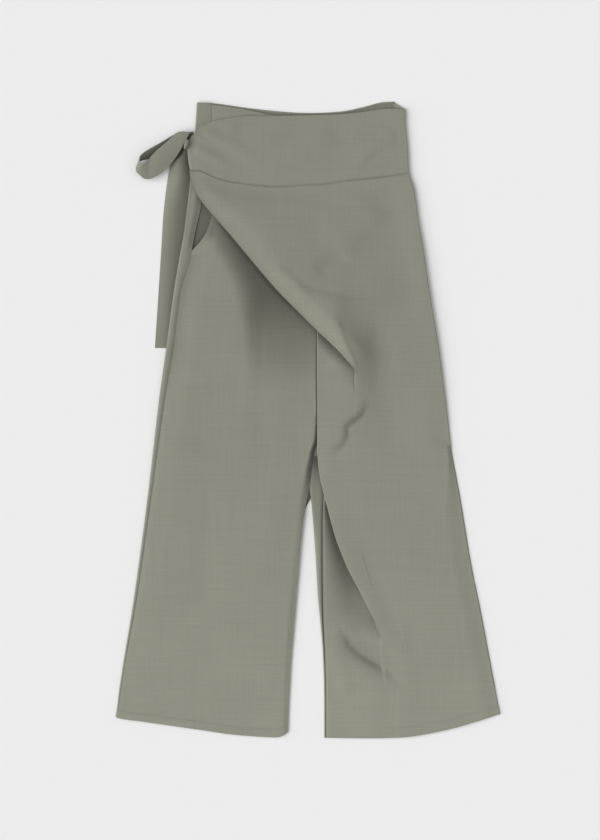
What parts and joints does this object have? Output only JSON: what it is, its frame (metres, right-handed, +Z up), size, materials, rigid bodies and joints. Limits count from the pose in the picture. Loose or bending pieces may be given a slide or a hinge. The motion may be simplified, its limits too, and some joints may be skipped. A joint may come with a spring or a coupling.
{
  "type": "wide-leg wrap trousers",
  "caption": "Wide-leg trousers with a diagonal wrap front, a deep yoke and a side tie in a half bow, lying flat with the front up.",
  "frame": {"origin": "middle of the underside, on the surface that the trousers lie on", "axes": "+X to the right as seen from above with the front up, +Y towards the waist, +Z up from the surface"},
  "size_m": [0.6044, 1.0006, 0.0225],
  "materials": {
    "cloth": "matt plain weave with fine slubs"
  },
  "bodies": {
    "root": {"back_left": "cloth", "back_right": "cloth", "front_left": "cloth", "pocket_facing_left": "cloth", "front_right_wrap": "cloth", "wrap_yoke": "cloth", "tie_loop": "cloth", "tie_tail": "cloth", "tie_knot": "cloth"}
  },
  "joints": []
}
